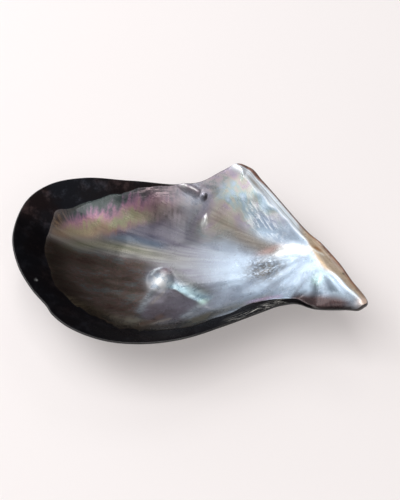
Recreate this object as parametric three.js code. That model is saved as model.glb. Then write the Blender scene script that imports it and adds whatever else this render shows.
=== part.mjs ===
// One polished valve of a winged pearl oyster, lying open side up as a shallow dish.
// Millimetres, +Z up. The origin is on the resting plane, under the middle of the valve's plan.
// +X runs along the valve's length, from the broad black-margined end to the pointed front ear;
// +Y runs towards the hinge side, where the back wing stands out.
import * as THREE from "three";

// The rim seen from above, one round of the valve from the broad end, with the width of the dark
// margin at each point. It sets the length of 180 mm.
const RIM_POINTS = [
  [-90, 9, 17], [-86, -9, 15.8], [-78, -23, 13.1], [-70, -32.5, 13.1], [-66.5, -38, 16.8],
  [-57.5, -45.5, 17], [-40.5, -52, 15.5], [-18.5, -53.3, 13.3], [0, -50.3, 10.2], [19, -42.5, 8.6],
  [37.5, -34.5, 11.3], [50, -30.3, 3.6], [63, -31.5, 0], [78.5, -33.6, 0], [86, -34.5, 0],
  [90, -31.6, 0], [83, -17.5, 0], [77.8, -6.7, 0], [69.6, 6.3, 0], [63.8, 12.4, 0],
  [56, 22.5, 0], [39.7, 44.2, 0], [34, 51.7, 0], [27, 53.42, 0], [18, 48.9, 0], [8.2, 44, 0],
  [-6, 42.7, 0], [-30.5, 45, 4.3], [-55, 46.3, 11.6], [-73, 41.5, 15.6], [-84.6, 30.7, 15],
];
const NOTCH_PLACE = 11; // places in that list
const EAR_TIP = 15;
const WING_CORNER = 22;
const NOTCH = [50, -30.3]; // the byssal notch, between the body and the front ear
const UMBO = [66.6, -0.8]; // the beak, where growth began
const MIDDLE = [1.6, 5.2]; // a point that sees the whole rim, where the surface grids close

// The bowl of the body, as distances from its lowest point to the body's margin every 30 degrees from +X.
const BOWL_MIDDLE = [-12.4, -3.8];
const BODY_RADII = [88, 56.5, 51, 43.5, 55, 85, 75, 63.5, 56, 48, 47, 58];
const FLOOR_HEIGHT = 1.9; // of the inside, over the resting plane
const BOWL_RISE = 32.5;
const BOWL_CURVE = 2.4; // the power by which the bowl rises from its floor
const BOWL_FLARE = 8; // how sharply it turns level past the body's margin
const LENGTH_TILT = 0.022; // the ear's end lies lower than the broad end

// The hinge side
const HINGE_STRIP = 5.5; // usual width of the outward-sloping strip beyond the hinge ridge
// and its width at each rim point, from the ear's tip to past the wing's corner
const STRIP_WIDTHS = [3.6, 6, 7.8, 7, 5, 5.2, 7.6, 8.6, 3];
const HINGE_DROP = 1.3;
const WING_DROP = 1.1; // the gentler fall of the wing towards the hinge
const WING_REACH = 28;
const RIDGE_RAISE = 0.9;
const RIDGE_WIDTH = 1.9;
const BEAK_DROP = 0.8;
const BEAK_REACH = 9;
const EAR_DROP = 4; // fall of the front ear from its ridge towards its lower edge
const EAR_START = 14; // distance past the line from beak to notch at which that fall is full
const EAR_WIDTH = [4.5, 22];
const EAR_CURL = 3; // and the steeper turn down along that edge
const EAR_CURL_WIDTH = 8;
const GROOVE_DEPTH = 1.3; // the byssal groove, from beak to notch
const GROOVE_WIDTH = 4.5;

// What stands on the nacre
const BLISTER = { at: [-14, -1.4], radius: 8, height: 1.6 }; // a blister pearl
const SPIKE = { line: [[9.9, 24.2], [9.4, 25.6], [8.4, 27.4]], width: 0.8, height: 0.8, fade: 0.5 };
const WORM_RIDGE = {
  line: [[-2.1, 41.6], [2.9, 39.8], [7.6, 37.3]], width: 1.5, height: 1.2, fade: 0.75,
};
const WORM_KNOB = { at: [8.8, 36.6], radius: 2.2, height: 1.3 };
const TAIL = {
  line: [[-17, -6], [-20, -13.5], [-24, -21], [-28, -27]], width: 3, height: 0.2, fade: 0.75,
};
const SCAR = { at: [-7.5, -19], depth: 0.5 }; // the sunk scar of the closing muscle
// its radii every 22.5 degrees from +X, with a corner towards the ear
const SCAR_RADII = [
  18.5, 12, 11.3, 12, 15, 15.5, 14.5, 14.5, 16.5, 19, 18.5, 17, 16.5, 14.5, 13, 13.5,
];
const SCAR_EDGE = 0.14; // width of its step, as a share of the radius
const MARGIN_STEP = 0.35; // the nacre's edge stands this far over the dark margin
const FOLDS = { each: 17, height: 0.35, from: [6, 24], to: [50, 95] }; // fanning out from the beak

// The wall
const BELLY_WALL = 3.2;
const EDGE_WALL = 1.4;
const HINGE_EDGE = 1.5; // extra thickness of the hinge margin itself
const EDGE_REACH = 16; // distance from the rim over which the wall gains its belly thickness
const HINGE_WALL = 2.4; // extra thickness along the hinge
const HINGE_REACH = 9;
const BEAK_WALL = 4.6; // extra thickness at the beak
const BEAK_BULGE = 12;
const GROWTH_WAVES = 7; // broad ledges of growth on the outside
const GROWTH_DEPTH = 0.45;
const EDGE_ROUND = 0.7; // how far in from the rim the two faces start

// Grid
const STEPS_PER_POINT = 4;
const INNER_RINGS = 22;
const OUTER_RINGS = 13;

const rimCurve = new THREE.CatmullRomCurve3(
  RIM_POINTS.map(([x, y]) => new THREE.Vector3(x, y, 0)),
  true,
  "centripetal",
);

function rimSamples(stepsPerPoint) {
  const count = RIM_POINTS.length * stepsPerPoint;
  return Array.from({ length: count }, (_, i) => {
    const p = rimCurve.getPoint(i / count);
    return [p.x, p.y];
  });
}

const FINE_STEPS = 6;
const fineRim = rimSamples(FINE_STEPS);
const hingeLine = fineRim.slice(EAR_TIP * FINE_STEPS, (WING_CORNER + 1) * FINE_STEPS);

function smooth(low, high, value) {
  return THREE.MathUtils.smoothstep(value, low, high);
}

// A hump that is 1 at 0 and fades over the given width.
function hump(distance, width) {
  return Math.exp(-((distance / width) ** 2));
}

// Closed cubic B-spline through values spaced evenly round one turn.
function roundValues(values, turn) {
  const n = values.length;
  const place = (((turn % 1) + 1) % 1) * n;
  const i = Math.floor(place);
  const f = place - i;
  const [a, b, c, d] = [-1, 0, 1, 2].map((k) => values[(i + k + n) % n]);
  const weights = [
    (1 - f) ** 3,
    3 * f ** 3 - 6 * f ** 2 + 4,
    -3 * f ** 3 + 3 * f ** 2 + 3 * f + 1,
    f ** 3,
  ];
  return (a * weights[0] + b * weights[1] + c * weights[2] + d * weights[3]) / 6;
}

// Share of the way from a middle to a rounded outline given by its radii.
function shareOfWay(x, y, middle, radii) {
  const dx = x - middle[0];
  const dy = y - middle[1];
  return Math.hypot(dx, dy) / roundValues(radii, Math.atan2(dy, dx) / (2 * Math.PI));
}

function segmentDistance(x, y, from, to) {
  const dx = to[0] - from[0];
  const dy = to[1] - from[1];
  const along = THREE.MathUtils.clamp(
    ((x - from[0]) * dx + (y - from[1]) * dy) / (dx * dx + dy * dy), 0, 1);
  return { away: Math.hypot(x - from[0] - along * dx, y - from[1] - along * dy), along };
}

function lineDistance(x, y, line, closed = false) {
  let best = { away: Infinity, along: 0 };
  const last = closed ? line.length : line.length - 1;
  for (let k = 0; k < last; k++) {
    const found = segmentDistance(x, y, line[k], line[(k + 1) % line.length]);
    if (found.away < best.away) {
      best = { away: found.away, along: (k + found.along) / last };
    }
  }
  return best;
}

const earEdge = fineRim.slice(NOTCH_PLACE * FINE_STEPS, EAR_TIP * FINE_STEPS + 1);

// Distance past the line from beak to notch, positive on the front ear's side.
function pastNotchLine(x, y) {
  const dx = NOTCH[0] - UMBO[0];
  const dy = NOTCH[1] - UMBO[1];
  const length = Math.hypot(dx, dy);
  return ((x - UMBO[0]) * -dy + (y - UMBO[1]) * dx) / length;
}

// Growth share: 0 at the beak and 1 on the rim, measured along the ray from the beak.
const rimFromBeak = fineRim
  .map(([x, y]) => [Math.atan2(y - UMBO[1], x - UMBO[0]), Math.hypot(x - UMBO[0], y - UMBO[1])])
  .sort((a, b) => a[0] - b[0]);

function growthShare(x, y) {
  const angle = Math.atan2(y - UMBO[1], x - UMBO[0]);
  const next = rimFromBeak.findIndex(([a]) => a > angle);
  const high = rimFromBeak[next < 0 ? 0 : next];
  const low = rimFromBeak[(next <= 0 ? rimFromBeak.length : next) - 1];
  const span = (high[0] - low[0] + 2 * Math.PI) % (2 * Math.PI);
  const into = (angle - low[0] + 2 * Math.PI) % (2 * Math.PI);
  const reach = THREE.MathUtils.lerp(low[1], high[1], span > 0 ? into / span : 0);
  return Math.min(Math.hypot(x - UMBO[0], y - UMBO[1]) / reach, 1);
}

// Width of the hinge strip, eased from one rim point to the next.
function stripWidth(along) {
  const place = along * (STRIP_WIDTHS.length - 1);
  const i = Math.min(Math.floor(place), STRIP_WIDTHS.length - 2);
  return THREE.MathUtils.lerp(STRIP_WIDTHS[i], STRIP_WIDTHS[i + 1], smooth(0, 1, place - i));
}

// The valve's own form, without what stands on the nacre. The outside follows it too.
function formHeight(x, y) {
  const share = shareOfWay(x, y, BOWL_MIDDLE, BODY_RADII);
  const rise = share ** BOWL_CURVE / (1 + share ** BOWL_FLARE) ** (BOWL_CURVE / BOWL_FLARE);
  const hinge = lineDistance(x, y, hingeLine);
  const wingFade = 1 - smooth(0.9, 1, hinge.along);
  const strip = HINGE_DROP * (1 - smooth(0, stripWidth(hinge.along), hinge.away)) * wingFade;
  const wing = WING_DROP * (1 - smooth(0, WING_REACH, hinge.away));
  const beak = Math.hypot(x - UMBO[0], y - UMBO[1]);
  const ear = smooth(0, EAR_START, pastNotchLine(x, y));
  const curl = (1 - Math.min(lineDistance(x, y, earEdge).away / EAR_CURL_WIDTH, 1)) ** 2;
  const groove = segmentDistance(x, y, UMBO, NOTCH);
  return FLOOR_HEIGHT + BOWL_RISE * rise - LENGTH_TILT * x - strip - wing
    - BEAK_DROP * hump(beak, BEAK_REACH) * (1 - smooth(0, HINGE_STRIP, hinge.away))
    - EAR_DROP * ear * smooth(EAR_WIDTH[0], EAR_WIDTH[1], hinge.away)
    - EAR_CURL * ear * curl * smooth(1, 7, hinge.away)
    - GROOVE_DEPTH * hump(groove.away, GROOVE_WIDTH) * smooth(0.15, 0.7, groove.along);
}

function insideHeight(x, y) {
  const hinge = lineDistance(x, y, hingeLine);
  const ridge = RIDGE_RAISE * hump(hinge.away - stripWidth(hinge.along), RIDGE_WIDTH);
  const dome = (b) => {
    const share = Math.hypot(x - b.at[0], y - b.at[1]) / b.radius;
    return share < 1 ? b.height * (1 - share ** 2) ** 2 : 0;
  };
  const bead = (b) => {
    const found = lineDistance(x, y, b.line);
    return b.height * hump(found.away, b.width) * (1 - smooth(b.fade, 1, found.along));
  };
  const scar = shareOfWay(x, y, SCAR.at, SCAR_RADII);
  const rim = lineDistance(x, y, fineRim, true);
  const margin = roundValues(RIM_POINTS.map((point) => point[2]), rim.along);
  const offBeak = Math.hypot(x - UMBO[0], y - UMBO[1]);
  const folds = Math.sin(Math.atan2(y - UMBO[1], UMBO[0] - x) * FOLDS.each)
    * smooth(FOLDS.from[0], FOLDS.from[1], offBeak) * (1 - smooth(FOLDS.to[0], FOLDS.to[1], offBeak));
  return formHeight(x, y) + ridge + dome(BLISTER) + dome(WORM_KNOB)
    + bead(WORM_RIDGE) + bead(SPIKE) + bead(TAIL)
    + FOLDS.height * folds * smooth(2, 10, rim.away)
    - SCAR.depth * (1 - smooth(1 - SCAR_EDGE, 1 + SCAR_EDGE, scar))
    - MARGIN_STEP * (1 - smooth(margin - 0.8, margin + 0.8, rim.away)) * smooth(0, 2, margin);
}

function outsideHeight(x, y) {
  const hinge = lineDistance(x, y, hingeLine).away;
  const rim = lineDistance(x, y, fineRim, true).away;
  const beak = Math.hypot(x - UMBO[0], y - UMBO[1]);
  const margin = EDGE_WALL + HINGE_EDGE * hump(hinge, HINGE_STRIP);
  const thickening = HINGE_WALL * hump(hinge, HINGE_REACH) + BEAK_WALL * hump(beak, BEAK_BULGE);
  const wall = THREE.MathUtils.lerp(margin, BELLY_WALL, smooth(0, EDGE_REACH, rim))
    + smooth(0, HINGE_STRIP, rim) * thickening;
  const step = 0.5;
  const slopeX = (formHeight(x + step, y) - formHeight(x - step, y)) / (2 * step);
  const slopeY = (formHeight(x, y + step) - formHeight(x, y - step)) / (2 * step);
  const wave = Math.cos(2 * Math.PI * growthShare(x, y) * GROWTH_WAVES);
  const ledge = GROWTH_DEPTH * (0.5 - 0.5 * wave) * smooth(0, EDGE_REACH, rim);
  const raw = formHeight(x, y) - wall * Math.hypot(1, slopeX, slopeY) - ledge;
  return Math.max(raw, 0); // ground flat where it rests
}

// One ring of points: each on the way from the middle to the rim, held back by a length at the rim.
function ring(reach, setBack, height) {
  return rimSamples(STEPS_PER_POINT).map(([rimX, rimY]) => {
    const length = Math.hypot(rimX - MIDDLE[0], rimY - MIDDLE[1]);
    const share = reach * (1 - setBack / length);
    const x = MIDDLE[0] + share * (rimX - MIDDLE[0]);
    const y = MIDDLE[1] + share * (rimY - MIDDLE[1]);
    return [x, y, height(x, y)];
  });
}

function edgeHeight(x, y) {
  return (insideHeight(x, y) + outsideHeight(x, y)) / 2;
}

// Two triangles over a cell of four points, split along the diagonal that lies nearer the surface.
function cell(points, [a, b, c, d], height) {
  const [pa, pb, pc, pd] = [a, b, c, d].map((k) => points[k]);
  const miss = (p, q) => Math.abs((p[2] + q[2]) / 2 - height((p[0] + q[0]) / 2, (p[1] + q[1]) / 2));
  return miss(pa, pc) <= miss(pb, pd) ? [[a, b, c], [a, c, d]] : [[a, b, d], [b, c, d]];
}

function valveGeometry() {
  const rings = [];
  for (let k = 1; k <= INNER_RINGS; k++) {
    rings.push(ring(k / INNER_RINGS, EDGE_ROUND, insideHeight));
  }
  rings.push(ring(1, 0, edgeHeight));
  for (let k = OUTER_RINGS; k >= 1; k--) {
    rings.push(ring(k / OUTER_RINGS, EDGE_ROUND, outsideHeight));
  }
  const around = rings[0].length;
  const [mx, my] = MIDDLE;
  const points = [[mx, my, insideHeight(mx, my)], ...rings.flat(), [mx, my, outsideHeight(mx, my)]];
  const last = points.length - 1;
  const at = (r, i) => 1 + r * around + (i % around);
  const faces = [];
  for (let i = 0; i < around; i++) {
    faces.push([0, at(0, i), at(0, i + 1)]);
    for (let r = 0; r < rings.length - 1; r++) {
      const height = r < INNER_RINGS ? insideHeight : outsideHeight;
      faces.push(...cell(points, [at(r, i), at(r + 1, i), at(r + 1, i + 1), at(r, i + 1)], height));
    }
    faces.push([at(rings.length - 1, i), last, at(rings.length - 1, i + 1)]);
  }
  const geometry = new THREE.BufferGeometry();
  geometry.setAttribute("position", new THREE.Float32BufferAttribute(points.flat(), 3));
  geometry.setIndex(faces.flat());
  geometry.computeVertexNormals();
  return geometry;
}

const nacre = new THREE.MeshStandardMaterial({ color: 0xb9b4b8, roughness: 0.25, metalness: 0.2 });
const valve = new THREE.Mesh(valveGeometry(), nacre);
valve.name = "shell_valve";

const group = new THREE.Group();
group.name = "mother_of_pearl_shell";
group.add(valve);

export default group;
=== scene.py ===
"""Polished left valve of a winged pearl oyster, lying open side up as a shallow dish."""
import math
from types import SimpleNamespace

import bpy
import numpy as np
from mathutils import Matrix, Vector


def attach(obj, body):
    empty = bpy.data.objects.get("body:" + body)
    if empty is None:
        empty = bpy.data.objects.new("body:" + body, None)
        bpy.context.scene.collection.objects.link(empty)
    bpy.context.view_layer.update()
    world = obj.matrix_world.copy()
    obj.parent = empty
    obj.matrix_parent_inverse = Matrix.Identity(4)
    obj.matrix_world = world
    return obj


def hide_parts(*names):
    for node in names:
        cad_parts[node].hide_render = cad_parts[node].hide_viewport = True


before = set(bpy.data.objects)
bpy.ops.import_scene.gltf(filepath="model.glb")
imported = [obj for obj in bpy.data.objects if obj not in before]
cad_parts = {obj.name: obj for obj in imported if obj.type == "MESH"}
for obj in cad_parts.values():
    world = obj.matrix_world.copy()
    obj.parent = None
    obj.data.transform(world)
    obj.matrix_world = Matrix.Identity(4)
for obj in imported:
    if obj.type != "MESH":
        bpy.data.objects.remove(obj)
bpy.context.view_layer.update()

# Form, in millimetres: the CAD part's surface drawn finer, with the spike about 2 mm further out.
# Rim points seen from above, with the width of the dark margin at each.
RIM_POINTS = np.array([
    (-90, 9, 17), (-86, -9, 15.8), (-78, -23, 13.1), (-70, -32.5, 13.1), (-66.5, -38, 16.8),
    (-57.5, -45.5, 17), (-40.5, -52, 15.5), (-18.5, -53.3, 13.3), (0, -50.3, 10.2), (19, -42.5, 8.6),
    (37.5, -34.5, 11.3), (50, -30.3, 3.6), (63, -31.5, 0), (78.5, -33.6, 0), (86, -34.5, 0),
    (90, -31.6, 0), (83, -17.5, 0), (77.8, -6.7, 0), (69.6, 6.3, 0), (63.8, 12.4, 0),
    (56, 22.5, 0), (39.7, 44.2, 0), (34, 51.7, 0), (27, 53.42, 0), (18, 48.9, 0), (8.2, 44, 0),
    (-6, 42.7, 0), (-30.5, 45, 4.3), (-55, 46.3, 11.6), (-73, 41.5, 15.6), (-84.6, 30.7, 15),
])
NOTCH_PLACE, EAR_TIP, WING_CORNER = 11, 15, 22  # rim points by number
NOTCH = (50, -30.3)
UMBO = (66.6, -0.8)  # the beak, where growth began
MIDDLE = (1.6, 5.2)
BOWL_MIDDLE = (-12.4, -3.8)
BODY_RADII = [88, 56.5, 51, 43.5, 55, 85, 75, 63.5, 56, 48, 47, 58]
STRIP_WIDTHS = [3.6, 6, 7.8, 7, 5, 5.2, 7.6, 8.6, 3]  # of the hinge strip, from the ear's tip on
SCAR_MIDDLE = (-7.5, -19)
SCAR_RADII = [18.5, 12, 11.3, 12, 15, 15.5, 14.5, 14.5, 16.5, 19, 18.5, 17, 16.5, 14.5, 13, 13.5]
# Domes on the inside: middle, radius and height.
BLISTER = ((-14, -1.4), 8, 1.6)
KNOB = ((8.8, 36.6), 2.2, 1.3)
# Beads on the inside: line, width, height and the share of the line where they start to fade.
SPIKE = ([(8.9, 25.4), (9.2, 27), (9.9, 29.4)], 0.8, 0.8, 0.5)
WORM = ([(-2.1, 41.6), (2.9, 39.8), (7.6, 37.3)], 1.5, 1.2, 0.75)
TAIL = ([(-17, -6), (-20, -13.5), (-24, -21), (-28, -27)], 3, 0.2, 0.75)
# Lobes (+) and bays (-) of the nacre's edge: middle, reach and depth.
EDGE_LOBES = [((-69, 28.5), 4, 2.2), ((-34, -41), 3, 1.6), ((-23.3, -42.5), 2.6, 2), ((-28, -40), 1.7, -2.2)]
BOWL_FLOOR, BOWL_RISE, BOWL_TILT = 1.9, 32.5, 0.022  # the tilt is down towards +X
STRIP_DROP = 1.3
WING_DROP, WING_REACH = 1.1, 28
HOLLOW_DEPTH, HOLLOW_REACH = 0.8, 9  # under the beak
EAR_DROP, CURL_DROP, CURL_REACH = 4, 3, 8
GROOVE_DEPTH, GROOVE_REACH = 1.3, 4.5
RIDGE_HEIGHT, RIDGE_REACH = 0.9, 1.9
SCAR_DEPTH, MARGIN_STEP = 0.5, 0.35
FOLDS, FOLD_HEIGHT = 17, 0.35  # fanning out from the beak
RIM_WALL, HINGE_WALL, BOWL_WALL = 1.4, 1.5, 3.2  # the hinge wall is added to the rim's
HINGE_SWELL, BEAK_SWELL = 2.4, 4.6
LEDGES, LEDGE_DEPTH = 7, 0.45  # broad growth ledges of the outside
RINGS, RING_DEPTH = 46, 0.12  # fine growth rings of the outside
EDGE_ROUND = 0.7  # how far the rounded edge reaches in

# Mesh
AROUND = 16  # grid columns to each rim point
INNER_RINGS = 104
OUTER_RINGS = 56
FINE = 12  # steps to each rim point of the lines that distances are measured to

# Texture places: for a millimetre outwards, and for a radian at the beak or the whole rim.
FAN_GRAIN, SHORE_GRAIN = (0.018, 16), (0.2, 26)
# Marks on the nacre that are soft ovals: middle, half sizes, and the first one's turn from +X in degrees.
SPOTS = {
    "violet": ((-22, 23), (26, 8), -5),
    "blob": ((-69, 23.5), (4, 6.5), -30),
    "fawn": ((-66, 17.5), (7, 3.5), 10),
    "cream": ((-53, 21.5), (9, 3.6), 8),
    "embers": ((-44.5, 26.5), (2.6, 1.8), 20),
    "ember_two": ((-49, 23.5), (2, 1.5), 0),
    "early": ((-56, 31), (8, 7), 0),
    "dim": ((-37, 29), (11, 8), 8),
    "dim_low": ((-34, -12.5), (9, 3.5), -10),
    "crinkle": ((-17, 39.5), (10, 2.8), -6),
    "shade": ((-6, 30), (8, 3), -8),
    "slate": ((4, 35.5), (11, 6.5), -10),
    "worm_glint": ((-1.9, 41.2), (1.4, 0.8), -20),
    "worm_pit": ((9.6, 36), (1.5, 1.5), 0),
    "wing_top": ((15, 43), (12, 5), 25),
    "wing_fleck": ((39, 22), (13, 5), -48),
    "corner": ((27.5, 50.5), (5, 1.6), -32),
    "groove": ((35.5, 41.5), (7, 1.1), -54),
    "blush": ((43, 7.5), (5.5, 1.5), 0),
    "patch": ((40.5, -2.6), (9.5, 6.8), -12),
    "pit": ((67, 2.6), (3, 1.3), -40),
    "plate_dark": ((76, -6.6), (6, 2.4), -60),
    "hole": ((79, -14), (0.8, 0.8), 0),
    "ear_side": ((73, -24.5), (9, 5), -45),
    "ear_teal": ((65.8, -16), (2.6, 3.6), -20),
    "ear_tip": ((88.4, -31.8), (3.4, 2.8), 0),
    "pearl": ((-14.4, -2.6), (5, 4), 30),
    "pearl_side": ((-19.5, -0.5), (2.4, 4.5), 10),
    "pearl_skin": ((-14, -1.4), (6, 5.6), 0),
    "pearl_dark": ((-11.6, 3.4), (3, 2.4), -20),
    "teal_end": ((8.2, -16.8), (2.6, 2), -30),
    "pale": ((-27, -31), (10, 3.4), -4),
    "speck": ((-76.2, -16.4), (0.45, 0.45), 0),
}
# Marks along lines: points, width at the start and the end, and the share where they start to fade.
STREAKS = {
    "olive": ([(-72, 10.5), (-60, 14), (-46.6, 16.2), (-28, 15.2), (-8, 11), (20, 6)], 3.2, 3.6, 0.55),
    "blue": ([(-44, 21.5), (-28, 20), (-8, 16)], 2.2, 2.2, 0.75),
    "teal": ([(-10.5, -4), (-4, -6.6), (2, -9.6), (8.5, -14.5), (10.5, -17.5)], 2.4, 3.8, 0.94),
    "lower": ([(9, -17), (5, -21.5), (0, -26), (-5, -29)], 2.2, 2, 0.75),
    "bright_line": ([(9.5, -21), (13, -24), (18, -25), (24, -23.5), (30, -21.5)], 0.6, 0.5, 0.6),
    "shelf": ([(-7, 3), (-2, -2), (6, -7), (14, -14)], 3.4, 3, 0.8),
    "tail": ([(-17, -5.5), (-20.5, -12.5), (-23.5, -19.5), (-26, -26)], 1.8, 2.2, 0.85),
    "tail_side": ([(-12.5, -8.5), (-16, -13), (-20, -19)], 0.8, 1, 0.7),
    "russet": ([(-13, -26), (-19, -31), (-27, -35)], 2, 2.4, 0.75),
    "pale_streaks": ([(-9, -28.5), (-14, -30.5), (-19, -34)], 0.8, 0.6, 0.75),
    "grey_low": ([(4, -33), (12, -29), (22, -26.5), (34, -24), (44, -23)], 5, 4.5, 0.85),
    "pearl_arc": ([(-19, 1.5), (-17, 4.4), (-13, 5.8)], 0.7, 0.7, 0.75),
    "valley": ([(16, 27), (28, 17.5), (41, 9), (54, 3)], 4.5, 3, 0.75),
    "beam": ([(48.5, 5.2), (53, 5.5), (59, 3.5), (63, 0)], 2.4, 2.2, 0.85),
    "plate_line": ([(62, 3.8), (66, 0.8), (71, -2.4)], 0.8, 0.6, 0.8),
    "crease": ([(53, -26.5), (54.5, -23.5), (57, -19.5), (61, -14.5), (65, -9)], 0.75, 0.3, 0.2),
    "sulcus": ([(64, -7), (59, -11.5), (53, -18), (47, -24)], 3.2, 7, 0.9),
    "worm": (WORM[0], 1.2, 1.2, 0.75),
    "worm_edge": ([(1.5, 40.4), (5.5, 38.7)], 0.4, 0.4, 0.75),
}


def rim_curve(steps):
    """Closed centripetal Catmull-Rom curve through the rim points."""
    pts = RIM_POINTS[:, :2]
    n = len(pts)
    out = []
    for i in range(n):
        p0, p1, p2, p3 = (pts[(i + k) % n] for k in (-1, 0, 1, 2))
        d0, d1, d2 = (math.sqrt(np.hypot(*(b - a))) for a, b in ((p0, p1), (p1, p2), (p2, p3)))
        t1 = ((p1 - p0) / d0 - (p2 - p0) / (d0 + d1) + (p2 - p1) / d1) * d1
        t2 = ((p2 - p1) / d1 - (p3 - p1) / (d1 + d2) + (p3 - p2) / d2) * d1
        for k in range(steps):
            s = k / steps
            out.append(p1 + t1 * s + (-3 * p1 + 3 * p2 - 2 * t1 - t2) * s**2
                       + (2 * p1 - 2 * p2 + t1 + t2) * s**3)
    return np.array(out)


fine_rim = rim_curve(FINE)
hinge_line = fine_rim[EAR_TIP * FINE:(WING_CORNER + 1) * FINE]
ear_edge = fine_rim[NOTCH_PLACE * FINE:EAR_TIP * FINE + 1]


def smooth(low, high, value):
    """0 at low, 1 at high, eased between; low may be the larger."""
    t = np.clip((value - low) / (high - low), 0, 1)
    return t * t * (3 - 2 * t)


def hump(distance, width):
    return np.exp(-((distance / width) ** 2))


def mix(a, b, t):
    return a + (b - a) * t


def round_values(values, turn):
    """Closed cubic B-spline through values spaced evenly round one turn."""
    v = np.asarray(values, float)
    n = len(v)
    s = (turn % 1.0) * n
    i = np.floor(s).astype(int)
    f = s - i
    a, b, c, d = v[(i - 1) % n], v[i % n], v[(i + 1) % n], v[(i + 2) % n]
    return ((1 - f) ** 3 * a + (3 * f**3 - 6 * f**2 + 4) * b
            + (-3 * f**3 + 3 * f**2 + 3 * f + 1) * c + f**3 * d) / 6


def share_of_way(x, y, middle, radii):
    """How far out from a middle a place is, as a share of the rounded outline there."""
    dx, dy = x - middle[0], y - middle[1]
    return np.hypot(dx, dy) / round_values(radii, np.arctan2(dy, dx) / (2 * math.pi))


def line_distance(x, y, line, closed=False):
    """Distance to a line of points and the share of the way along it."""
    line = np.asarray(line, float)
    count = len(line) if closed else len(line) - 1
    best = np.full(np.shape(x), np.inf)
    along = np.zeros(np.shape(x))
    for k in range(count):
        a, b = line[k], line[(k + 1) % len(line)]
        d = b - a
        t = np.clip(((x - a[0]) * d[0] + (y - a[1]) * d[1]) / (d @ d), 0, 1)
        away = np.hypot(x - a[0] - t * d[0], y - a[1] - t * d[1])
        near = away < best
        best = np.where(near, away, best)
        along = np.where(near, (k + t) / count, along)
    return best, along


def spot(x, y, at, size, turn):
    """Soft oval, 1 at its middle."""
    cos, sin = math.cos(math.radians(turn)), math.sin(math.radians(turn))
    dx, dy = x - at[0], y - at[1]
    return hump(np.hypot((dx * cos + dy * sin) / size[0], (dy * cos - dx * sin) / size[1]), 1)


def streak(x, y, line, width, end_width, fade):
    """Soft line, 1 along its middle, that fades out towards its end."""
    away, share = line_distance(x, y, line)
    return hump(away, mix(width, end_width, share)) * (1 - smooth(fade, 1, share))


def past_notch_line(x, y):
    """Distance to the ear's side of the line from the beak to the notch."""
    dx, dy = NOTCH[0] - UMBO[0], NOTCH[1] - UMBO[1]
    return ((x - UMBO[0]) * -dy + (y - UMBO[1]) * dx) / math.hypot(dx, dy)


def from_beak(x, y):
    """Distance from the beak, and the angle there: 0 down the valve's length, + towards the hinge."""
    return np.hypot(x - UMBO[0], y - UMBO[1]), np.arctan2(y - UMBO[1], UMBO[0] - x)


rim_angles = np.arctan2(fine_rim[:, 1] - UMBO[1], fine_rim[:, 0] - UMBO[0])
rim_reach = np.hypot(fine_rim[:, 0] - UMBO[0], fine_rim[:, 1] - UMBO[1])
rim_order = np.argsort(rim_angles)


def growth_share(x, y):
    """0 at the beak, 1 at the rim: the growth lines are its contours."""
    angle = np.arctan2(y - UMBO[1], x - UMBO[0])
    reach = np.interp(angle, rim_angles[rim_order], rim_reach[rim_order], period=2 * math.pi)
    return np.minimum(np.hypot(x - UMBO[0], y - UMBO[1]) / reach, 1)


def strip_width(along):
    """Width of the hinge strip, eased from one rim point to the next."""
    widths = np.array(STRIP_WIDTHS)
    place = along * (len(widths) - 1)
    i = np.minimum(np.floor(place).astype(int), len(widths) - 2)
    return mix(widths[i], widths[i + 1], smooth(0, 1, place - i))


def form_height(x, y):
    """Height of the inside without its small forms."""
    share = share_of_way(x, y, BOWL_MIDDLE, BODY_RADII)
    rise = share**2.4 / (1 + share**8) ** 0.3
    away, along = line_distance(x, y, hinge_line)
    strip = STRIP_DROP * (1 - smooth(0, strip_width(along), away)) * (1 - smooth(0.9, 1, along))
    wing = WING_DROP * (1 - smooth(0, WING_REACH, away))
    beak, _ = from_beak(x, y)
    hollow = HOLLOW_DEPTH * hump(beak, HOLLOW_REACH) * (1 - smooth(0, 5.5, away))
    groove_away, groove_along = line_distance(x, y, [UMBO, NOTCH])
    groove = GROOVE_DEPTH * hump(groove_away, GROOVE_REACH) * smooth(0.15, 0.7, groove_along)
    curl = CURL_DROP * (1 - np.minimum(line_distance(x, y, ear_edge)[0] / CURL_REACH, 1)) ** 2
    drop = EAR_DROP * smooth(4.5, 22, away) + curl * smooth(1, 7, away)
    ear = drop * smooth(0, 14, past_notch_line(x, y))
    return BOWL_FLOOR + BOWL_RISE * rise - BOWL_TILT * x - strip - wing - hollow - ear - groove


def wander(x, y, seed, size, count=7):
    """Soft unevenness from a few seeded waves; about -1 to 1."""
    rng = np.random.default_rng(seed)
    total = np.zeros(np.shape(x))
    for _ in range(count):
        a, k, p = rng.uniform(0, 2 * math.pi), rng.uniform(0.6, 1.7) / size, rng.uniform(0, 2 * math.pi)
        total += np.sin(2 * math.pi * k * (x * math.cos(a) + y * math.sin(a)) + p)
    return total / math.sqrt(count)


def nacre_inset(x, y):
    """Distance in from the wavy edge of the nacre; negative on the dark margin."""
    away, along = line_distance(x, y, fine_rim, closed=True)
    width = round_values(RIM_POINTS[:, 2], along)
    ragged = smooth(-52, -40, x) * smooth(0, -8, x) * smooth(-20, -28, y)
    waves = 0.6 * wander(x, y, 3, 15) + (0.12 + 0.3 * ragged) * wander(x, y, 4, 6)
    for at, reach, depth in EDGE_LOBES:
        waves = waves + depth * hump(np.hypot(x - at[0], y - at[1]), reach)
    inset = away - width + waves * smooth(0, 3, width) + 2.5 * (1 - smooth(0, 0.8, width))
    return inset, away, along


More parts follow.
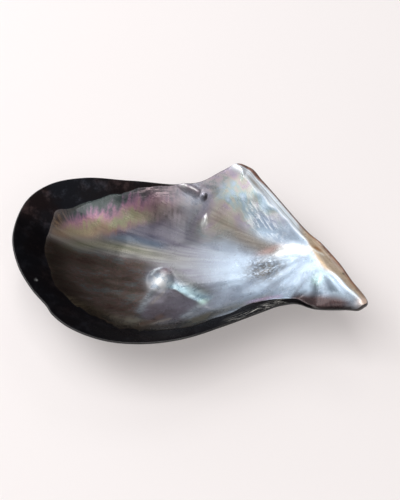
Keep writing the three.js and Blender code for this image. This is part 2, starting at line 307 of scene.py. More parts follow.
def measure(x, y):
    """Distances and shares that the form and the colours of the inside use."""
    p = SimpleNamespace(x=x, y=y)
    p.hinge, hinge_along = line_distance(x, y, hinge_line)
    p.inset, p.rim, p.along = nacre_inset(x, y)
    p.beak, p.angle = from_beak(x, y)
    p.scar = share_of_way(x, y, SCAR_MIDDLE, SCAR_RADII)
    side_waves = 0.5 * wander(x, y, 41, 13) * smooth(0.5, 0.7, hinge_along)
    p.off_ridge = p.hinge - strip_width(hinge_along) + side_waves
    return p


def inside_height(p):
    """Height of the inside: the form, its ridge, domes and beads, and the polished face's folds."""
    z = form_height(p.x, p.y) + RIDGE_HEIGHT * hump(p.off_ridge, RIDGE_REACH)
    for at, radius, height in (BLISTER, KNOB):
        out = np.hypot(p.x - at[0], p.y - at[1]) / radius
        z += height * np.clip(1 - out**2, 0, 1) ** 2
    for line, width, height, fade in (SPIKE, WORM, TAIL):
        away, share = line_distance(p.x, p.y, line)
        z += height * hump(away, width) * (1 - smooth(fade, 1, share))
    z -= SCAR_DEPTH * (1 - smooth(0.86, 1.14, p.scar))
    z -= MARGIN_STEP * (1 - smooth(-0.6, 0.6, p.inset))
    fold = np.sin(p.angle * FOLDS) * smooth(6, 24, p.beak) * (1 - smooth(50, 95, p.beak))
    z += FOLD_HEIGHT * fold * smooth(2, 10, p.rim)
    z += 0.22 * wander(p.x, p.y, 11, 30) * smooth(2, 10, p.rim)
    return z + 0.06 * wander(p.x, p.y, 12, 11) * smooth(1, 5, p.inset)


def broad_end_masks(p):
    """Rays, smoke and the interference flush of the broad end, the muscle scar, and the upper side where the
    dark margin gets a painted reflection.
    """
    x, y = p.x, p.y
    under = smooth(1.5, -5, y - np.interp(x, [-75, -66, -46, -28, -8], [15, 14.5, 14, 13, 9]))
    reach = mix(15, 8, smooth(-45, -10, x))
    return {
        "smoke": under * (1 - smooth(-26, -2, x + 0.1 * y)),
        "deep": under * (1 - smooth(2, 15, p.inset)) * (1 - smooth(-50, -20, x)),
        "flush": ((1 - smooth(reach, reach + 6, p.inset)) * smooth(-70, -60, x - 0.2 * (y - 30))
                  * (1 - smooth(-12, 2, x)) * smooth(15, 22, y)),
        "lip": hump(p.inset - 0.7, 0.8) * smooth(-52, -62, x) * smooth(6, 14, y),
        "dusk": smooth(-32, -16, x) * (1 - smooth(-6, 1, x)) * smooth(24, 31, y),
        "scar": 1 - smooth(0.86, 1.04, p.scar),
        # where the dark margin's mottling is stronger, as a painted reflection
        "upper": smooth(8, 26, y + 0.2 * (x + 60)),
    }


def hinge_side_masks(p):
    """Wing, hinge strip and front ear, with painted highlights on the ear's ridge and on the spike, painted
    shade on the ear's flank, and the ear's lower part brown with painted shade.
    """
    x, y = p.x, p.y
    plate = p.off_ridge - 2.2 * hump(x - 68, 4.5)
    low = line_distance(x, y, ear_edge)[0] + 0.4 * wander(x, y, 33, 12)
    reach = np.interp(x, [46, 56, 67, 76, 84, 90], [1.5, 7, 7.5, 6, 4, 2])
    rust = 1.2 + 1.4 * hump(np.hypot(x - 36, y - 49), 9)
    spike, spike_along = line_distance(x, y, SPIKE[0])
    return {
        "silver": smooth(-6, 44, x - 0.15 * (y - 20)),
        "wing": smooth(-2, 14, x) * smooth(14, 26, y) * (1 - smooth(9, 3, p.hinge)),
        "tan": (1 - smooth(-1.6, 0.4, plate)) * smooth(54, 63, x),
        # the ear's lower part: brown, with painted shade
        "ear_low": (1 - smooth(reach - 3, reach + 1.5, low)) * smooth(46, 54, x) * (1 - smooth(76, 88, x)),
        "ear_edge": (1 - smooth(0.4, 1.8, low)) * smooth(46, 54, x) * (1 - smooth(80, 87, x)),
        # painted highlight along the ear's ridge
        "ear_ridge": hump(p.off_ridge - 0.2, 0.85) * smooth(68, 74, x),
        "ear_brown": (1 - smooth(1, 3, p.hinge)) * smooth(60, 74, x),
        # painted shade on the ear's flank
        "ear_flank": hump(p.off_ridge - 4.2, 2.2) * smooth(69, 76, x) * (1 - smooth(82, 88, x)),
        "rust": (1 - smooth(rust - 0.7, rust + 0.7, p.hinge)) * (1 - smooth(82, 87, x)),
        # painted highlight on the spike
        "spike": hump(spike, mix(1.5, 0.3, spike_along)),
    }


def lower_margin_masks(p):
    """Bands along the lower edge of the nacre, and the flaking part of the dark margin."""
    x, y = p.x, p.y
    deeper = smooth(-26, -14, x)
    band = 1 - smooth(mix(2, 5, deeper), mix(7, 12, deeper), p.inset)
    return {
        "brown": hump(p.inset - 2, 4.5) * smooth(-24, -32, y + 0.1 * x) * (1 - smooth(4, 20, x)),
        "umber": band * smooth(-62, -45, x) * (1 - smooth(6, 18, x)) * smooth(-20, -27, y),
        "lilac": (hump(p.inset - 1.8, 1.8) * smooth(27, 35, x) * (1 - smooth(46, 50, x))
                  * smooth(-14, -19, y)),
        "flakes": ((1 - smooth(3, 7, p.rim)) * smooth(14, 34, x) * (1 - smooth(44, 52, x))
                   * smooth(-10, -20, y)),
    }


def texture_place(outwards, across, grain):
    """Place for textures that are drawn out one way and fine across it."""
    return np.stack([outwards * grain[0], across * grain[1], np.zeros_like(outwards)], -1)


def inside(x, y):
    """Height of the inside, with the masks that its colours use."""
    p = measure(x, y)
    m = {name: spot(x, y, *values) for name, values in SPOTS.items()}
    m.update((name, streak(x, y, *values)) for name, values in STREAKS.items())
    m["embers"] += 0.8 * m.pop("ember_two")
    # the two painted shade spots are joined into one mask
    m["dim"] += 0.6 * m.pop("dim_low")
    # the worm's glint takes in a painted highlight line along its edge
    m["worm_glint"] += 0.7 * m.pop("worm_edge")
    m["olive"] *= smooth(-70, -56, x)
    m["teal"] *= smooth(0.82, 0.9, p.scar)
    m.update(broad_end_masks(p))
    m.update(hinge_side_masks(p))
    m.update(lower_margin_masks(p))
    m.update(inset=p.inset, rim=p.rim, hinge=p.hinge, off_ridge=p.off_ridge, grow=growth_share(x, y))
    m["fan"] = texture_place(p.beak, p.angle, FAN_GRAIN)
    m["shore"] = texture_place(p.inset, p.along, SHORE_GRAIN)
    return inside_height(p), m


def outside(x, y):
    """Height of the outside, with the masks that its colours use."""
    hinge, _ = line_distance(x, y, hinge_line)
    rim, _ = line_distance(x, y, fine_rim, closed=True)
    beak, angle = from_beak(x, y)
    wall = mix(RIM_WALL + HINGE_WALL * hump(hinge, 5.5), BOWL_WALL, smooth(0, 16, rim))
    wall = wall + smooth(0, 5.5, rim) * (HINGE_SWELL * hump(hinge, 9) + BEAK_SWELL * hump(beak, 12))
    slope_x = form_height(x + 0.5, y) - form_height(x - 0.5, y)
    slope_y = form_height(x, y + 0.5) - form_height(x, y - 0.5)
    grow = growth_share(x, y)
    ledge = LEDGE_DEPTH * (0.5 - 0.5 * np.cos(2 * math.pi * grow * LEDGES)) * smooth(0, 16, rim)
    wavy = grow * RINGS + 0.3 * wander(x, y, 21, 40)
    ring = RING_DEPTH * (0.5 - 0.5 * np.cos(2 * math.pi * wavy)) * smooth(1, 8, rim)
    z = form_height(x, y) - wall * np.sqrt(1 + slope_x**2 + slope_y**2) - ledge - ring
    m = {"hinge": hinge, "rim": rim, "grow": grow, "flat": 1 - smooth(0, 0.25, z)}
    m["fan"] = texture_place(beak, angle, FAN_GRAIN)
    return np.maximum(z, 0), m


def ring_points(reach, set_back):
    """One ring of grid points: a share of the way out from the middle to a line set back from the rim."""
    columns = rim_curve(AROUND)
    to_rim = columns - MIDDLE
    length = np.hypot(to_rim[:, 0], to_rim[:, 1])
    return MIDDLE + to_rim * (reach * (1 - set_back / length))[:, None]


def build_valve():
    """One closed skin: inside rings outwards, the rounded rim, outside rings inwards."""
    in_rings = [ring_points(k / INNER_RINGS, EDGE_ROUND) for k in range(1, INNER_RINGS + 1)]
    out_rings = [ring_points(k / OUTER_RINGS, EDGE_ROUND) for k in range(OUTER_RINGS, 0, -1)]
    in_xy = np.vstack([[MIDDLE]] + in_rings)
    out_xy = np.vstack(out_rings + [[MIDDLE]])
    z_in, m_in = inside(in_xy[:, 0], in_xy[:, 1])
    z_out, m_out = outside(out_xy[:, 0], out_xy[:, 1])
    n = AROUND * len(RIM_POINTS)
    lip_xy, lip_z = [], []
    lip_turns = (0.25, 0.5, 0.75)  # a half-round edge between the two faces
    for turn in lip_turns:
        lip_xy.append(ring_points(1, EDGE_ROUND * (1 - math.sin(math.pi * turn))))
        lip_z.append(mix(z_in[-n:], z_out[:n], 0.5 - 0.5 * math.cos(math.pi * turn)))
    lip_xy, lip_z = np.concatenate(lip_xy), np.concatenate(lip_z)
    _, m_lip = outside(lip_xy[:, 0], lip_xy[:, 1])
    xyz = np.vstack([np.c_[in_xy, z_in], np.c_[lip_xy, lip_z], np.c_[out_xy, z_out]])
    rows = INNER_RINGS + len(lip_turns) + OUTER_RINGS
    at = 1 + np.arange(rows * n).reshape(rows, n)
    a, b = at[:-1], at[1:]
    quads = np.stack([a, b, np.roll(b, -1, 1), np.roll(a, -1, 1)], -1).reshape(-1, 4)
    first = np.c_[np.zeros(n, int), at[0], np.roll(at[0], -1)]
    last_point = len(xyz) - 1
    last = np.c_[at[-1], np.full(n, last_point), np.roll(at[-1], -1)]
    mesh = bpy.data.meshes.new("shell_valve_skin")
    mesh.from_pydata((xyz / 1000).tolist(), [], first.tolist() + quads.tolist() + last.tolist())
    outer_face = np.zeros(len(mesh.polygons), int)
    outer_face[n + (INNER_RINGS - 1) * n:] = 1
    mesh.polygons.foreach_set("material_index", outer_face)
    mesh.polygons.foreach_set("use_smooth", np.ones(len(mesh.polygons), bool))
    for name in sorted(set(m_in) | set(m_out)):
        is_place = name in ("fan", "shore")
        kind, width, key = ("FLOAT_VECTOR", 3, "vector") if is_place else ("FLOAT", 1, "value")
        parts = [np.asarray(m.get(name, np.zeros((count, width)))).reshape(count, width)
                 for m, count in ((m_in, len(in_xy)), (m_lip, len(lip_xy)), (m_out, len(out_xy)))]
        data = np.concatenate(parts).astype(np.float32).ravel()
        mesh.attributes.new(name, kind, "POINT").data.foreach_set(key, data)
    mesh.update()
    valve = bpy.data.objects.new("shell_valve_skin", mesh)
    bpy.context.collection.objects.link(valve)
    return valve


def paint(red, green, blue):
    """Linear colour from the 0 to 255 values of a screen colour."""
    linear = (((v / 255 + 0.055) / 1.055) ** 2.4 if v > 10 else v / 3295 for v in (red, green, blue))
    return tuple(linear) + (1.0,)


class Graph:
    """Short hand for building a material from nodes."""

    def __init__(self, name):
        self.material = bpy.data.materials.new(name)
        self.material.use_nodes = True
        self.nodes, self.links = self.material.node_tree.nodes, self.material.node_tree.links
        self.shader = self.nodes["Principled BSDF"]

    def put(self, socket, value):
        if isinstance(value, bpy.types.NodeSocket):
            self.links.new(value, socket)
        else:
            socket.default_value = value

    def attribute(self, name, output):
        node = self.nodes.new("ShaderNodeAttribute")
        node.attribute_name = name
        return node.outputs[output]

    def mask(self, name):
        return self.attribute(name, "Fac")

    def math(self, operation, a, b, clamp=False):
        node = self.nodes.new("ShaderNodeMath")
        node.operation, node.use_clamp = operation, clamp
        self.put(node.inputs[0], a)
        self.put(node.inputs[1], b)
        return node.outputs[0]

    def plus(self, a, b):
        return self.math("ADD", a, b)

    def less(self, a, b):
        return self.math("SUBTRACT", a, b)

    def times(self, a, b):
        return self.math("MULTIPLY", a, b)

    def noise(self, where, scale, detail, rough, shift=(0, 0, 0), stretch=(1, 1, 1), warp=0.0):
        place = self.nodes.new("ShaderNodeMapping")
        self.put(place.inputs["Vector"], where)
        place.inputs["Location"].default_value = shift
        place.inputs["Scale"].default_value = stretch
        node = self.nodes.new("ShaderNodeTexNoise")
        self.links.new(place.outputs[0], node.inputs["Vector"])
        numbers = {"Scale": scale, "Detail": detail, "Roughness": rough, "Distortion": warp}
        for key, number in numbers.items():
            node.inputs[key].default_value = number
        return node.outputs["Fac"]

    def fit(self, value, low, high, to_low=0.0, to_high=1.0):
        node = self.nodes.new("ShaderNodeMapRange")
        node.interpolation_type = "SMOOTHSTEP"
        self.put(node.inputs["Value"], value)
        numbers = {"From Min": low, "From Max": high, "To Min": to_low, "To Max": to_high}
        for key, number in numbers.items():
            node.inputs[key].default_value = number
        return node.outputs["Result"]

    def blend(self, a, b, amount, way="MIX"):
        node = self.nodes.new("ShaderNodeMix")
        node.data_type, node.blend_type = "RGBA", way
        first, second, result = node.inputs[6], node.inputs[7], node.outputs[2]  # the colour sockets
        self.put(node.inputs["Factor"], amount)
        self.put(first, a)
        self.put(second, b)
        return result

    def ramp(self, value, stops, way="LINEAR"):
        """Colour ramp from places and screen colours."""
        node = self.nodes.new("ShaderNodeValToRGB")
        self.put(node.inputs["Fac"], value)
        band = node.color_ramp
        band.interpolation = way
        while len(band.elements) < len(stops):
            band.elements.new(0.5)
        for element, (place, colour) in zip(band.elements, stops):
            element.position, element.color = place, paint(*colour)
        return node.outputs["Color"]

    def bump(self, height, distance, strength, normal=None):
        node = self.nodes.new("ShaderNodeBump")
        node.inputs["Strength"].default_value = strength
        node.inputs["Distance"].default_value = distance
        self.put(node.inputs["Height"], height)
        if normal is not None:
            self.links.new(normal, node.inputs["Normal"])
        return node.outputs["Normal"]

    def pair(self, first, second, noise, low=0.38, high=0.62):
        """Two screen colours, with a noise that parts them between low and high."""
        return self.blend(paint(*first), paint(*second), self.fit(noise, low, high))

    def layer(self, below, above, mask, amount):
        return self.blend(below, above, self.math("MULTIPLY", self.mask(mask), amount, True))

    def layers(self, colour, rows):
        """Lay tones over a colour. A row is a mask, its strength, and a screen colour or a pair's values."""
        for mask, amount, first, *rest in rows:
            tone = self.pair(first, *rest) if rest else paint(*first)
            colour = self.layer(colour, tone, mask, amount)
        return colour


class Nacre(Graph):
    """Material of the inside, with the noises that its parts share."""

    def __init__(self):
        super().__init__("nacre")
        self.here = self.nodes.new("ShaderNodeNewGeometry").outputs["Position"]
        self.fan, self.shore = self.attribute("fan", "Vector"), self.attribute("shore", "Vector")
        self.fibre = self.noise(self.fan, 3.2, 5, 0.6, (0, 0, 0), (0.55, 1, 1))
        self.fibre_fine = self.noise(self.fan, 11, 4, 0.6, (3, 1, 0), (1.6, 1, 1))
        self.broad = self.noise(self.fan, 1, 4, 0.55, (0.4, 0.8, 0), (3, 1, 1), 0.3)
        self.brush = self.noise(self.shore, 14, 4, 0.62, (0, 0, 0), (0.06, 1, 1))
        self.fleck = self.noise(self.shore, 4.5, 4, 0.65, (2.3, 0.7, 0), (1, 1, 1), 0.8)
        self.cloud = self.noise(self.here, 45, 4, 0.55, (1.3, 0.2, 0))
        self.cloud_fine = self.noise(self.here, 190, 4, 0.6, (0.3, 2.2, 0), (1, 1, 1), 0.4)
        self.speck = self.fit(self.noise(self.here, 1100, 3, 0.65, (0, 0, 0), (0.5, 1, 1)), 0.47, 0.56)
        self.lines = self.noise(self.mask("hinge"), 0.5, 3, 0.6)
        self.strip = self.fit(self.mask("off_ridge"), -0.9, 0.9, 1, 0)
        self.dark = self.fit(self.mask("inset"), -0.25, 0.25, 1, 0)
        flake = self.fit(self.noise(self.shore, 4.5, 5, 0.7, (0, 0, 0), (1.3, 0.5, 1)), 0.5, 0.6)
        self.flake = self.times(self.times(flake, self.mask("flakes")), 0.85)


def ground_tone(g):
    """From the smoky broad end, by its rays, to the silvery hinge side, with a painted highlight on the
    wing's tip by the hinge.
    """
    colour = g.pair((120, 116, 128), (142, 144, 150), g.fibre)
    colour = g.layers(colour, [("silver", 1, (140, 152, 168), (180, 198, 216), g.cloud)])
    wing = g.ramp(g.noise(g.here, 58, 4, 0.6, (0.4, 1.9, 0), (1, 1, 1), 0.6), [
        (0.3, (120, 122, 146)), (0.42, (172, 140, 168)), (0.49, (186, 176, 146)),
        (0.55, (146, 166, 160)), (0.61, (150, 172, 192)), (0.7, (206, 218, 230))], "B_SPLINE")
    colour = g.layer(colour, wing, "wing", 0.75)
    colour = g.layers(colour, [
        ("wing_top", 0.85, (92, 98, 104), (136, 122, 130), g.cloud_fine),
        ("wing_fleck", 0.85, (122, 144, 166), (236, 244, 252), g.fleck, 0.46, 0.64),
        # painted highlight: pure white on the wing's tip by the hinge
        ("corner", 1, (255, 255, 255)),
        ("violet", 0.85, (74, 72, 92), (94, 88, 106), g.fibre),
        ("blue", 0.7, (96, 114, 134)),
    ])
    smoke = g.ramp(g.plus(g.times(g.broad, 0.65), g.times(g.fibre_fine, 0.35)), [
        (0.38, (52, 40, 34)), (0.44, (76, 55, 48)), (0.49, (50, 58, 50)),
        (0.53, (90, 60, 55)), (0.58, (60, 72, 70)), (0.66, (92, 84, 86))], "B_SPLINE")
    colour = g.layer(colour, smoke, "smoke", 0.96)
    return g.layers(colour, [
        ("deep", 0.7, (24, 20, 16), (46, 36, 28), g.broad),
        ("olive", 0.85, (104, 106, 84), (140, 136, 118), g.fibre),
    ])


def interference_flush(g, colour):
    """Colour bands inwards from the upper margin, brushed across it, and the patches among them, with part
    of it darkened as painted shade.
    """
    order = g.plus(g.mask("inset"), g.times(g.less(g.brush, 0.5), 11))
    order = g.plus(order, g.times(g.less(g.cloud, 0.5), 13))
    order = g.plus(order, g.times(g.mask("early"), 2.5))
    rainbow = g.ramp(g.times(order, 0.05), [
        (0.0, (54, 66, 64)), (0.15, (78, 92, 90)), (0.24, (138, 114, 136)), (0.32, (200, 140, 172)),
        (0.42, (190, 158, 148)), (0.52, (178, 178, 140)), (0.62, (166, 154, 124)),
        (0.72, (160, 116, 118)), (0.82, (122, 108, 128)), (1.0, (100, 96, 116))], "B_SPLINE")
    colour = g.layer(colour, rainbow, "flush", 0.9)
    # painted shade: part of the flush darkened by multiplying its colour
    colour = g.blend(colour, paint(178, 186, 180), g.mask("dim"), "MULTIPLY")
    return g.layers(colour, [
        ("dusk", 0.7, (84, 72, 80), (140, 116, 124), g.brush),
        ("crinkle", 0.75, (80, 68, 74), (206, 182, 188), g.fleck, 0.46, 0.6),
        ("embers", 0.6, (136, 92, 94)),
        ("blob", 0.9, (72, 52, 42), (160, 128, 98), g.brush, 0.42, 0.6),
        ("fawn", 0.8, (150, 126, 100), (170, 150, 124), g.fibre),
        ("cream", 0.75, (186, 164, 140), (204, 186, 152), g.brush),
        ("lip", 0.6, (96, 90, 88)),
        ("shelf", 0.75, (88, 90, 88), (112, 112, 110), g.cloud_fine),
        ("slate", 0.85, (158, 164, 180), (182, 180, 188), g.cloud_fine),
        ("shade", 0.5, (100, 88, 90), (140, 136, 144), g.brush),
    ])


def scar_and_pearl(g, colour):
    """The muscle scar, its bright border, and the blister with its tail; the blister has a painted highlight
    and a painted bright arc over its top, painted shade on its left side, and a reddish tint with painted
    shade on its top.
    """
    return g.layers(colour, [
        ("scar", 0.85, (76, 70, 76), (96, 92, 102), g.cloud),
        ("teal", 0.9, (128, 158, 172), (186, 212, 218), g.cloud_fine),
        ("lower", 0.75, (128, 138, 146), (166, 174, 180), g.cloud_fine),
        ("teal_end", 0.7, (142, 172, 158)),
        ("bright_line", 0.7, (188, 192, 198)),
        ("tail", 0.9, (102, 104, 110), (134, 140, 146), g.fibre_fine),
        ("tail_side", 0.7, (112, 106, 104)),
        ("pearl_skin", 0.8, (126, 134, 148)),
        # partly a reddish tint, partly painted shade on the top of the blister
        ("pearl_dark", 0.85, (126, 94, 88), (132, 124, 140), g.cloud_fine),
        # painted highlight on the blister
        ("pearl", 0.95, (200, 214, 228), (255, 255, 255), g.cloud_fine, 0.4, 0.55),
        # painted shade on the blister's left side
        ("pearl_side", 0.7, (96, 104, 116)),
        # painted highlight: a bright arc over the blister's top
        ("pearl_arc", 0.7, (206, 214, 222)),
    ])


def beak_and_ear(g, colour):
    """Rays and the speckled patch below the beak, the hinge plate and the front ear, with painted highlights
    below the beak, along the ear's ridge and along the plate, painted shade on the ear's sides, in a thin
    line towards the notch and in a brownish band, and the ear's lower part brown with painted shade.
    """
    colour = g.layers(colour, [
        # partly the band's own brownish tone, partly painted shade
        ("valley", 0.85, (122, 110, 96), (154, 144, 132), g.fibre),
        ("blush", 0.65, (198, 164, 160)),
    ])
    speckled = g.times(g.mask("patch"), g.plus(g.times(g.speck, 0.55), 0.38))
    colour = g.blend(colour, g.pair((62, 56, 52), (118, 110, 102), g.cloud_fine), speckled)
    return g.layers(colour, [
        ("sulcus", 0.75, (162, 182, 206), (224, 236, 250), g.fibre_fine),
        # painted highlight: a white line below the beak
        ("beam", 0.9, (255, 255, 255)),
        # painted shade on the ear's side
        ("ear_side", 0.7, (92, 102, 112)),
        # painted shade on the ear's flank
        ("ear_flank", 0.3, (134, 150, 160)),
        # painted shade along a thin crease towards the notch
        ("crease", 0.75, (96, 92, 104)),
        ("ear_teal", 0.85, (206, 238, 238)),
        # painted highlight along the ear's ridge
        ("ear_ridge", 0.75, (222, 230, 234)),
        ("tan", 0.92, (160, 124, 84), (204, 182, 148), g.fibre_fine),
        ("plate_dark", 0.8, (108, 78, 56)),
        ("ear_brown", 0.85, (112, 72, 44), (150, 104, 66), g.cloud_fine),
        # painted highlight: a pale line along the hinge plate
        ("plate_line", 0.9, (244, 238, 226)),
        # the ear's lower part: brown, with painted shade
        ("ear_low", 0.95, (56, 38, 37), (96, 74, 72), g.fibre_fine),
        ("ear_edge", 0.9, (30, 25, 24)),
    ])


def lower_margin(g, colour):
    """Dark and pale bands along the lower edge of the nacre."""
    return g.layers(colour, [
        ("brown", 0.85, (42, 36, 28), (88, 79, 64), g.brush),
        ("umber", 0.95, (26, 22, 18), (44, 36, 28), g.cloud_fine),
        ("pale", 0.7, (78, 77, 68), (116, 114, 102), g.cloud_fine),
        ("russet", 0.8, (50, 38, 31), (84, 63, 51), g.cloud_fine),
        ("pale_streaks", 0.7, (134, 126, 118)),
        ("grey_low", 0.9, (60, 57, 46), (94, 88, 74), g.cloud_fine),
        ("lilac", 0.6, (186, 158, 190)),
    ])


def hinge_strip(g, colour):
    """Fine lines along the strip, its red-brown outer edge, and the small marks laid last, among them
    painted glints on the worm and the spike and painted shade in two small pits.
    """
    tone = g.ramp(g.lines, [(0.34, (198, 202, 208)), (0.43, (232, 245, 255)), (0.49, (255, 255, 255)),
                            (0.55, (208, 225, 248)), (0.64, (246, 252, 255))])
    colour = g.blend(colour, tone, g.times(g.strip, g.fit(g.mask("tan"), 0.1, 0.6, 0.9, 0.1)))
    return g.layers(colour, [
        ("rust", 0.95, (84, 44, 28), (134, 84, 58), g.cloud_fine),
        ("ear_tip", 1, (240, 212, 194)),
        ("pit", 0.9, (146, 96, 42)),
        ("groove", 0.75, (124, 104, 76)),
        # painted shade in a small hole
        ("hole", 0.9, (42, 34, 30)),
        ("worm", 0.7, (168, 150, 160)),
        ("worm_glint", 1, (255, 255, 255)),
        # painted shade in the pit at the worm's end
        ("worm_pit", 0.85, (62, 54, 56)),
        # painted highlight: the spike is white all over
        ("spike", 1, (255, 255, 255)),
    ])


def dark_margin(g, colour):
    """Faintly mottled, the mottling partly its own marbling and partly a painted reflection that is stronger
    on the upper side, with pale flaking layers towards the notch.
    """
    # the mottling is partly the margin's own marbling, partly a painted reflection that is stronger on the
    # upper side
    mottle_and_reflection = g.times(g.fit(g.noise(g.here, 170, 6, 0.7), 0.48, 0.7, 0.22, 1),
                     g.fit(g.mask("upper"), 0, 1, 0.15, 1))
    margin = g.blend(paint(9, 8, 10), g.pair((56, 58, 66), (60, 48, 48), g.cloud), mottle_and_reflection)
    margin = g.blend(margin, g.pair((90, 88, 86), (214, 210, 202), g.fibre_fine), g.flake)
    margin = g.layers(margin, [("speck", 0.7, (200, 200, 200))])
    return g.blend(colour, margin, g.dark)


def nacre_material():
    """The inside: its colours, then its gloss and its fine relief."""
    g = Nacre()
    colour = ground_tone(g)
    for part in (interference_flush, scar_and_pearl, beak_and_ear, lower_margin, hinge_strip, dark_margin):
        colour = part(g, colour)
    g.put(g.shader.inputs["Base Color"], colour)
    patch = g.times(g.speck, g.mask("patch"))
    rough = g.plus(g.times(g.cloud_fine, 0.16), 0.2)
    rough = g.plus(rough, g.times(patch, 0.35))
    rough = g.plus(rough, g.times(g.flake, 0.3))
    g.put(g.shader.inputs["Roughness"], rough)
    soft = g.math("MAXIMUM", g.strip, g.mask("pearl_skin"))
    metal = g.times(g.less(1.0, g.dark), g.less(0.55, g.times(soft, 0.35)))
    g.put(g.shader.inputs["Metallic"], metal)
    matt = g.math("MAXIMUM", g.times(g.mask("smoke"), 0.85), g.times(g.mask("scar"), 0.6))
    matt = g.math("MAXIMUM", matt, g.times(g.mask("umber"), 0.9))
    coat = g.times(g.less(1.0, matt), g.fit(g.dark, 0, 1, 0.6, 0.0))
    g.put(g.shader.inputs["Coat Weight"], coat)
    g.shader.inputs["Coat Roughness"].default_value = 0.1
    g.shader.inputs["Specular IOR Level"].default_value = 0.02
    normal = g.bump(g.noise(g.fan, 9, 4, 0.55), 0.0004, 0.2)
    normal = g.bump(g.times(g.lines, g.strip), 0.0006, 0.4, normal)
    normal = g.bump(patch, 0.0003, 0.5, normal)
    normal = g.bump(g.times(g.flake, g.dark), 0.0004, 0.5, normal)
    g.put(g.shader.inputs["Normal"], normal)
    return g.material


def outside_material():
    """Dark and horny, with growth rings, redder by the hinge and paler where it is ground flat."""
    g = Graph("outer_shell")
    here = g.nodes.new("ShaderNodeNewGeometry").outputs["Position"]
    fibre = g.noise(g.attribute("fan", "Vector"), 4, 5, 0.6)
    rings = g.noise(g.times(g.mask("grow"), 14), 3, 4, 0.65)
    tone = g.plus(g.times(fibre, 0.4), g.times(rings, 0.6))
    colour = g.ramp(tone, [(0.36, (14, 12, 13)), (0.5, (34, 27, 25)), (0.62, (64, 50, 42)),
                           (0.74, (92, 80, 68))])
    hinge_tone = g.ramp(tone, [(0.4, (66, 34, 22)), (0.6, (120, 76, 50))])
    colour = g.blend(colour, hinge_tone, g.fit(g.mask("hinge"), 1.5, 14, 0.9, 0))
    colour = g.blend(colour, paint(12, 11, 13), g.fit(g.mask("rim"), 1.0, 7.0, 0.9, 0))
    colour = g.blend(colour, paint(120, 112, 104), g.times(g.mask("flat"), 0.8))
    g.put(g.shader.inputs["Base Color"], colour)
    g.put(g.shader.inputs["Roughness"], g.fit(tone, 0.3, 0.7, 0.28, 0.55))
    g.shader.inputs["Coat Weight"].default_value = 0.2
    g.shader.inputs["Coat Roughness"].default_value = 0.2
    normal = g.bump(rings, 0.0012, 0.5)
    normal = g.bump(g.noise(here, 500, 4, 0.6), 0.0003, 0.4, normal)
    g.put(g.shader.inputs["Normal"], normal)
    return g.material


valve = build_valve()
valve.data.materials.append(nacre_material())
valve.data.materials.append(outside_material())
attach(valve, "root")
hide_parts("shell_valve")

# Stage, in metres: one pale floor, soft lamps and the camera.
FLOOR_HALF, FLOOR_HEIGHT, FLOOR_GLOW = 3, -0.0002, 0.27
SKY_GLOW = 0.12
# Lamps: azimuth (0 behind the shell, 90 to its right) and height in degrees, distance, size, glow, tint.
LAMPS = {
    "window": (-70, 42, 1.3, (1.0, 0.6), 2.7, (0.95, 0.98, 1.0)),
    "glint": (-64, 38, 1.2, (0.3, 0.2), 6.0, (0.97, 0.99, 1.0)),
    "low_window": (-37, 25, 1.3, (0.6, 0.5), 2.6, (0.93, 0.97, 1.0)),
    "ceiling": (-80, 76, 1.8, (1.6, 1.6), 2.0, (1, 1, 1)),
    "overhead": (-8, 61, 1.2, (0.18, 0.14), 11.0, (1, 1, 1)),
    "behind": (9, 38, 1.3, (0.5, 0.3), 3.0, (1, 1, 1)),
    "left_front": (-125, 42, 1.3, (0.6, 0.5), 1.5, (1, 1, 1)),
    "front": (168, 50, 1.3, (0.9, 0.5), 2.1, (1.0, 0.98, 0.96)),
}
LAMP_TARGET = Vector((0, 0, 0.02))
CAMERA_TARGET = Vector((0.0066, 0.00475, 0.0217))
CAMERA_DISTANCE, CAMERA_LENS, CAMERA_HEIGHT = 0.612, 85, 57  # the last is in degrees

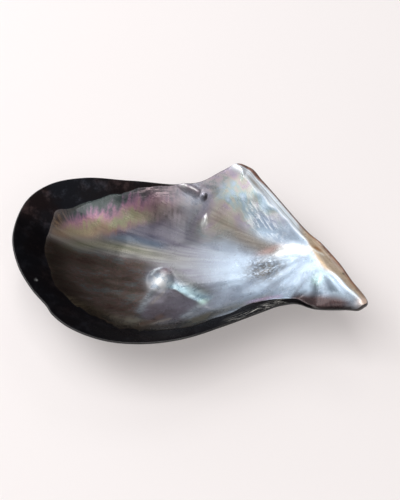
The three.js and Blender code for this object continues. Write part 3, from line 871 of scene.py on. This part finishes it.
corners = [(x * FLOOR_HALF, y * FLOOR_HALF, FLOOR_HEIGHT) for x, y in ((-1, -1), (1, -1), (1, 1), (-1, 1))]
floor_mesh = bpy.data.meshes.new("floor")
floor_mesh.from_pydata(corners, [], [(0, 1, 2, 3)])
floor = bpy.data.objects.new("floor", floor_mesh)
bpy.context.collection.objects.link(floor)
floor_paint = Graph("floor")
floor_paint.shader.inputs["Base Color"].default_value = paint(216, 210, 209)
floor_paint.shader.inputs["Roughness"].default_value = 0.9
floor_paint.shader.inputs["Specular IOR Level"].default_value = 0.1
floor_paint.shader.inputs["Emission Color"].default_value = paint(242, 236, 235)
floor_paint.shader.inputs["Emission Strength"].default_value = FLOOR_GLOW
floor_mesh.materials.append(floor_paint.material)

world = bpy.data.worlds.new("studio")
world.use_nodes = True
world.node_tree.nodes["Background"].inputs["Color"].default_value = (1, 0.985, 0.98, 1)
world.node_tree.nodes["Background"].inputs["Strength"].default_value = SKY_GLOW
bpy.context.scene.world = world
bpy.context.scene.view_settings.view_transform = "Standard"


def soft_lamp(name, azimuth, height, distance, size, glow, tint):
    """Area lamp aimed at the shell."""
    a, h = math.radians(azimuth), math.radians(height)
    away = Vector((math.sin(a) * math.cos(h), math.cos(a) * math.cos(h), math.sin(h)))
    data = bpy.data.lights.new(name, "AREA")
    data.shape, data.size, data.size_y = "RECTANGLE", size[0], size[1]
    data.energy, data.color = glow * math.pi * size[0] * size[1], tint
    lamp = bpy.data.objects.new(name, data)
    lamp.location = LAMP_TARGET + away * distance
    lamp.rotation_mode = "QUATERNION"
    lamp.rotation_quaternion = away.to_track_quat("Z", "Y")
    bpy.context.collection.objects.link(lamp)


for lamp_name, lamp_values in LAMPS.items():
    soft_lamp(lamp_name, *lamp_values)

camera_data = bpy.data.cameras.new("camera")
camera_data.sensor_fit = "AUTO"
camera_data.sensor_width = 36
camera_data.lens = CAMERA_LENS
camera_data.clip_start, camera_data.clip_end = 0.01, 20
camera = bpy.data.objects.new("camera", camera_data)
elevation = math.radians(CAMERA_HEIGHT)
back = Vector((0, -math.cos(elevation), math.sin(elevation)))
camera.location = CAMERA_TARGET + back * CAMERA_DISTANCE
camera.rotation_mode = "QUATERNION"
camera.rotation_quaternion = back.to_track_quat("Z", "Y")
bpy.context.collection.objects.link(camera)
bpy.context.scene.camera = camera
